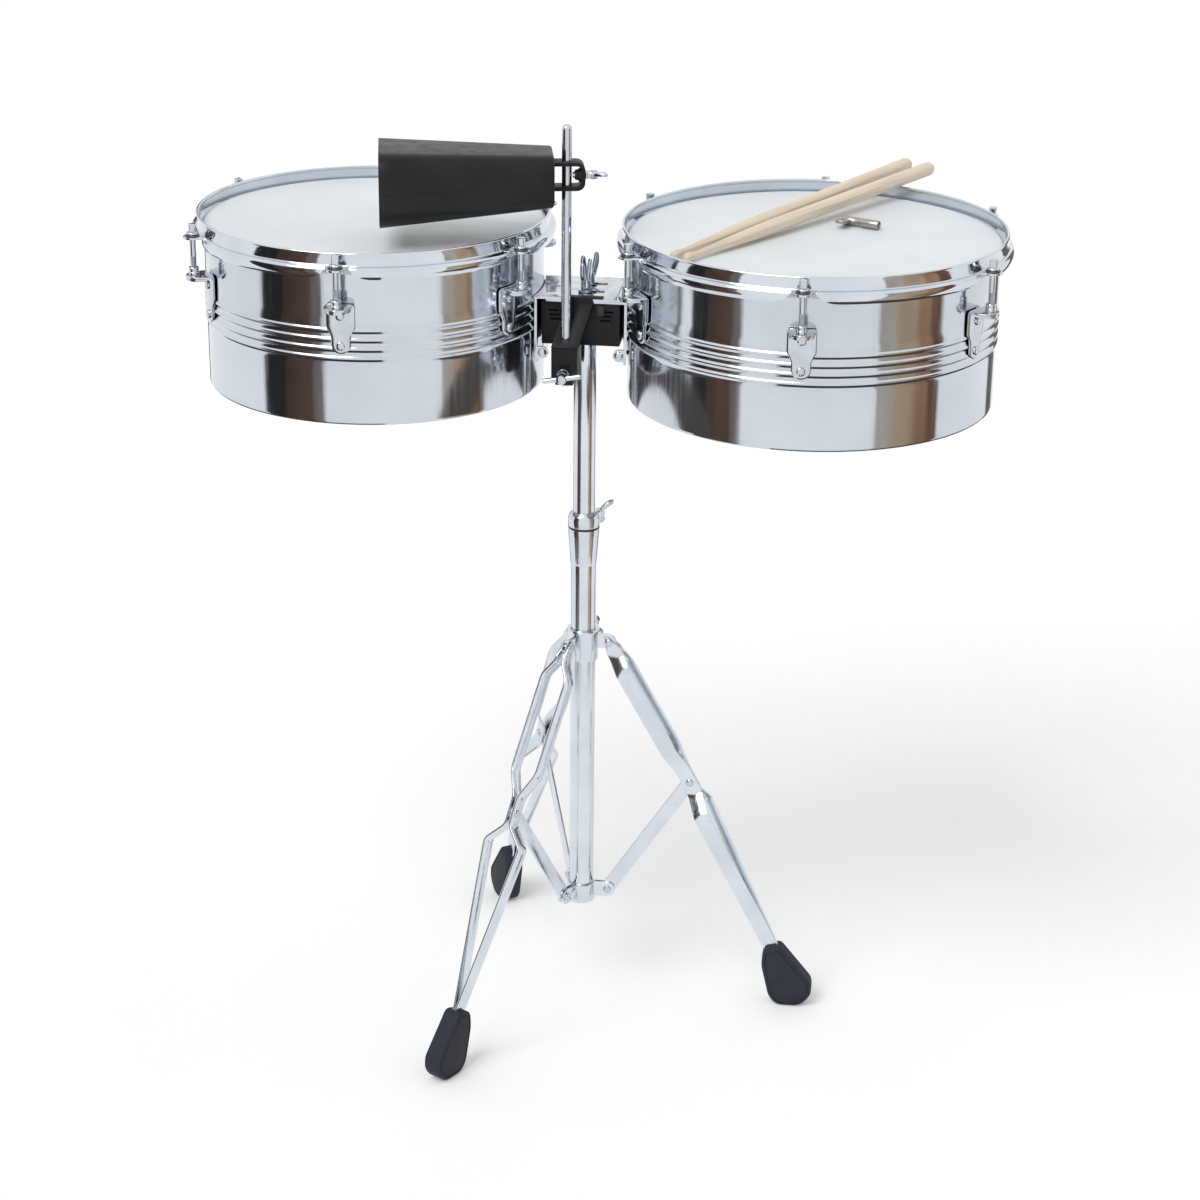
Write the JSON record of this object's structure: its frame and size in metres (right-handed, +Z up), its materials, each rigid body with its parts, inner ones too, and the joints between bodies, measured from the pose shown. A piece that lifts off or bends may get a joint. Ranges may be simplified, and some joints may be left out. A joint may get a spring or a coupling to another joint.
{
  "type": "timbales on a stand",
  "caption": "Pair of shallow steel drums on a height-adjustable folding tripod, with cowbell on a rod, sticks and drum key",
  "frame": {"origin": "on the floor, under the middle of the bounding box; the post stands 12.7 mm towards -X and 3.6 mm towards -Y of it", "axes": "+X from the smaller drum to the larger drum, +Y from the player's audience side (cowbell holder side) to the back, +Z up"},
  "size_m": [0.7948, 0.4443, 0.95],
  "materials": {
    "chrome_shell": "polished chrome on rolled steel shells",
    "chrome_hoop": "polished chrome hoops",
    "chrome_hardware": "polished chrome lugs, rods, screws and wing bolts",
    "chrome_stand": "bright satin chrome tubes and flat straps",
    "drum_head": "coated white polyester film",
    "black_steel": "satin black powder coat",
    "bell_paint": "satin black paint with a slight sheen",
    "black_nylon": "moulded black nylon",
    "foot_rubber": "moulded blue-black rubber",
    "maple": "pale lacquered maple",
    "nickel": "worn nickel plate"
  },
  "bodies": {
    "stand": {"main_tube": "chrome_stand", "bottom_collar": "chrome_stand", "bottom_rivets": "chrome_hardware", "height_clamp": "chrome_stand", "clamp_ring": "black_nylon", "clamp_head": "chrome_stand"},
    "height_bolt": {"height_bolt": "chrome_hardware"},
    "leg_slider": {"leg_collar": "chrome_stand"},
    "leg_bolt": {"leg_collar_bolt": "chrome_hardware"},
    "leg_1": {"leg_1": "chrome_stand", "leg_rivets_1": "chrome_hardware", "foot_1": "foot_rubber"},
    "leg_2": {"leg_2": "chrome_stand", "leg_rivets_2": "chrome_hardware", "foot_2": "foot_rubber"},
    "leg_3": {"leg_3": "chrome_stand", "leg_rivets_3": "chrome_hardware", "foot_3": "foot_rubber"},
    "brace_1": {"brace_1": "chrome_stand"},
    "brace_2": {"brace_2": "chrome_stand"},
    "brace_3": {"brace_3": "chrome_stand"},
    "mast": {"upper_tube": "chrome_stand", "bracket_box": "black_steel", "bracket_clip": "black_steel", "bell_arm": "black_steel", "arm_bushing": "black_nylon"},
    "plate_bolt_front": {"plate_bolt_front": "chrome_hardware"},
    "plate_bolt_rear": {"plate_bolt_rear": "chrome_hardware"},
    "big_drum": {"big_shell": "chrome_shell", "big_head": "drum_head", "big_hoop": "chrome_hoop", "big_lugs": "chrome_hardware", "big_lug_screws": "chrome_hardware", "big_lug_nuts": "chrome_hardware", "big_washers": "chrome_hardware", "big_rods": "chrome_hardware", "big_plate": "chrome_hardware", "big_plate_screws": "chrome_hardware"},
    "small_drum": {"small_shell": "chrome_shell", "small_head": "drum_head", "small_hoop": "chrome_hoop", "small_lugs": "chrome_hardware", "small_lug_screws": "chrome_hardware", "small_lug_nuts": "chrome_hardware", "small_washers": "chrome_hardware", "small_rods": "chrome_hardware", "small_plate": "chrome_hardware", "small_plate_screws": "chrome_hardware"},
    "arm_bolt": {"arm_bolt": "chrome_hardware"},
    "bell_rod": {"bell_rod": "chrome_hardware"},
    "cowbell": {"bell": "bell_paint", "bell_strap": "black_steel", "bell_nut": "black_nylon"},
    "bell_bolt": {"bell_bolt": "chrome_hardware"},
    "stick_1": {"stick_1": "maple"},
    "stick_2": {"stick_2": "maple"},
    "drum_key": {"key_barrel": "nickel", "key_wings": "nickel"}
  },
  "joints": [
    {"name": "leg_slide", "type": "slide", "parent": "stand", "child": "leg_slider", "axis": [0, 0, 1], "range_m": [0, 0.035]},
    {"name": "leg_bolt_turn", "type": "hinge", "parent": "leg_slider", "child": "leg_bolt", "pos_m": [-0.0127, -0.00364, 0.406], "axis": [0.5, 0.866, 0], "continuous": true},
    {"name": "height_bolt_turn", "type": "hinge", "parent": "stand", "child": "height_bolt", "pos_m": [-0.0127, -0.00364, 0.539], "axis": [0.6428, 0.766, 0], "continuous": true},
    {"name": "leg_1_hinge", "type": "hinge", "parent": "leg_slider", "child": "leg_1", "pos_m": [0.0143, -0.00364, 0.406], "axis": [0, 1, 0], "range_deg": [0, 15]},
    {"name": "brace_1_hinge", "type": "hinge", "parent": "stand", "child": "brace_1", "pos_m": [0.0153, -0.00364, 0.122], "axis": [0, 1, 0], "range_deg": [-17, 0]},
    {"name": "leg_2_hinge", "type": "hinge", "parent": "leg_slider", "child": "leg_2", "pos_m": [-0.0262, 0.01974, 0.406], "axis": [-0.866, -0.5, 0], "range_deg": [0, 15]},
    {"name": "brace_2_hinge", "type": "hinge", "parent": "stand", "child": "brace_2", "pos_m": [-0.0267, 0.02061, 0.122], "axis": [-0.866, -0.5, 0], "range_deg": [-17, 0]},
    {"name": "leg_3_hinge", "type": "hinge", "parent": "leg_slider", "child": "leg_3", "pos_m": [-0.0262, -0.02702, 0.406], "axis": [0.866, -0.5, 0], "range_deg": [0, 15]},
    {"name": "brace_3_hinge", "type": "hinge", "parent": "stand", "child": "brace_3", "pos_m": [-0.0267, -0.02789, 0.122], "axis": [0.866, -0.5, 0], "range_deg": [-17, 0]},
    {"name": "height_slide", "type": "slide", "parent": "stand", "child": "mast", "axis": [0, 0, 1], "range_m": [-0.1, 0.1]},
    {"name": "front_bolt_turn", "type": "hinge", "parent": "mast", "child": "plate_bolt_front", "pos_m": [-0.0107, -0.01764, 0.7785], "axis": [0, 0, 1], "continuous": true},
    {"name": "rear_bolt_turn", "type": "hinge", "parent": "mast", "child": "plate_bolt_rear", "pos_m": [-0.0107, 0.01036, 0.7785], "axis": [0, 0, 1], "continuous": true},
    {"name": "big_drum_slide", "type": "slide", "parent": "mast", "child": "big_drum", "axis": [1, 0, 0], "range_m": [0, 0.015]},
    {"name": "small_drum_slide", "type": "slide", "parent": "mast", "child": "small_drum", "axis": [-1, 0, 0], "range_m": [0, 0.015]},
    {"name": "arm_bolt_turn", "type": "hinge", "parent": "mast", "child": "arm_bolt", "pos_m": [-0.0247, -0.07664, 0.711], "axis": [0, -1, 0], "continuous": true},
    {"name": "rod_slide", "type": "slide", "parent": "mast", "child": "bell_rod", "axis": [0, 0, 1], "range_m": [0, 0.02]},
    {"name": "bell_turn", "type": "hinge", "parent": "bell_rod", "child": "cowbell", "pos_m": [-0.0247, -0.05664, 0.902], "axis": [0, 0, 1], "range_deg": [-80, 80]},
    {"name": "bell_bolt_turn", "type": "hinge", "parent": "cowbell", "child": "bell_bolt", "pos_m": [-0.00801, -0.05339, 0.902], "axis": [0.9816, 0.1908, 0], "continuous": true},
    {"name": "stick_1_lift", "type": "slide", "parent": "big_drum", "child": "stick_1", "axis": [0, 0, 1], "range_m": [0, 0.15]},
    {"name": "stick_2_lift", "type": "slide", "parent": "big_drum", "child": "stick_2", "axis": [0, 0, 1], "range_m": [0, 0.15]},
    {"name": "drum_key_lift", "type": "slide", "parent": "big_drum", "child": "drum_key", "axis": [0, 0, 1], "range_m": [0, 0.15]}
  ],
  "couplings": [
    {"joint": "leg_1_hinge", "follows": "leg_slide", "rad_per_m": 7.0794},
    {"joint": "brace_1_hinge", "follows": "leg_slide", "rad_per_m": -8.1218},
    {"joint": "leg_2_hinge", "follows": "leg_slide", "rad_per_m": 7.0794},
    {"joint": "brace_2_hinge", "follows": "leg_slide", "rad_per_m": -8.1218},
    {"joint": "leg_3_hinge", "follows": "leg_slide", "rad_per_m": 7.0794},
    {"joint": "brace_3_hinge", "follows": "leg_slide", "rad_per_m": -8.1218}
  ]
}
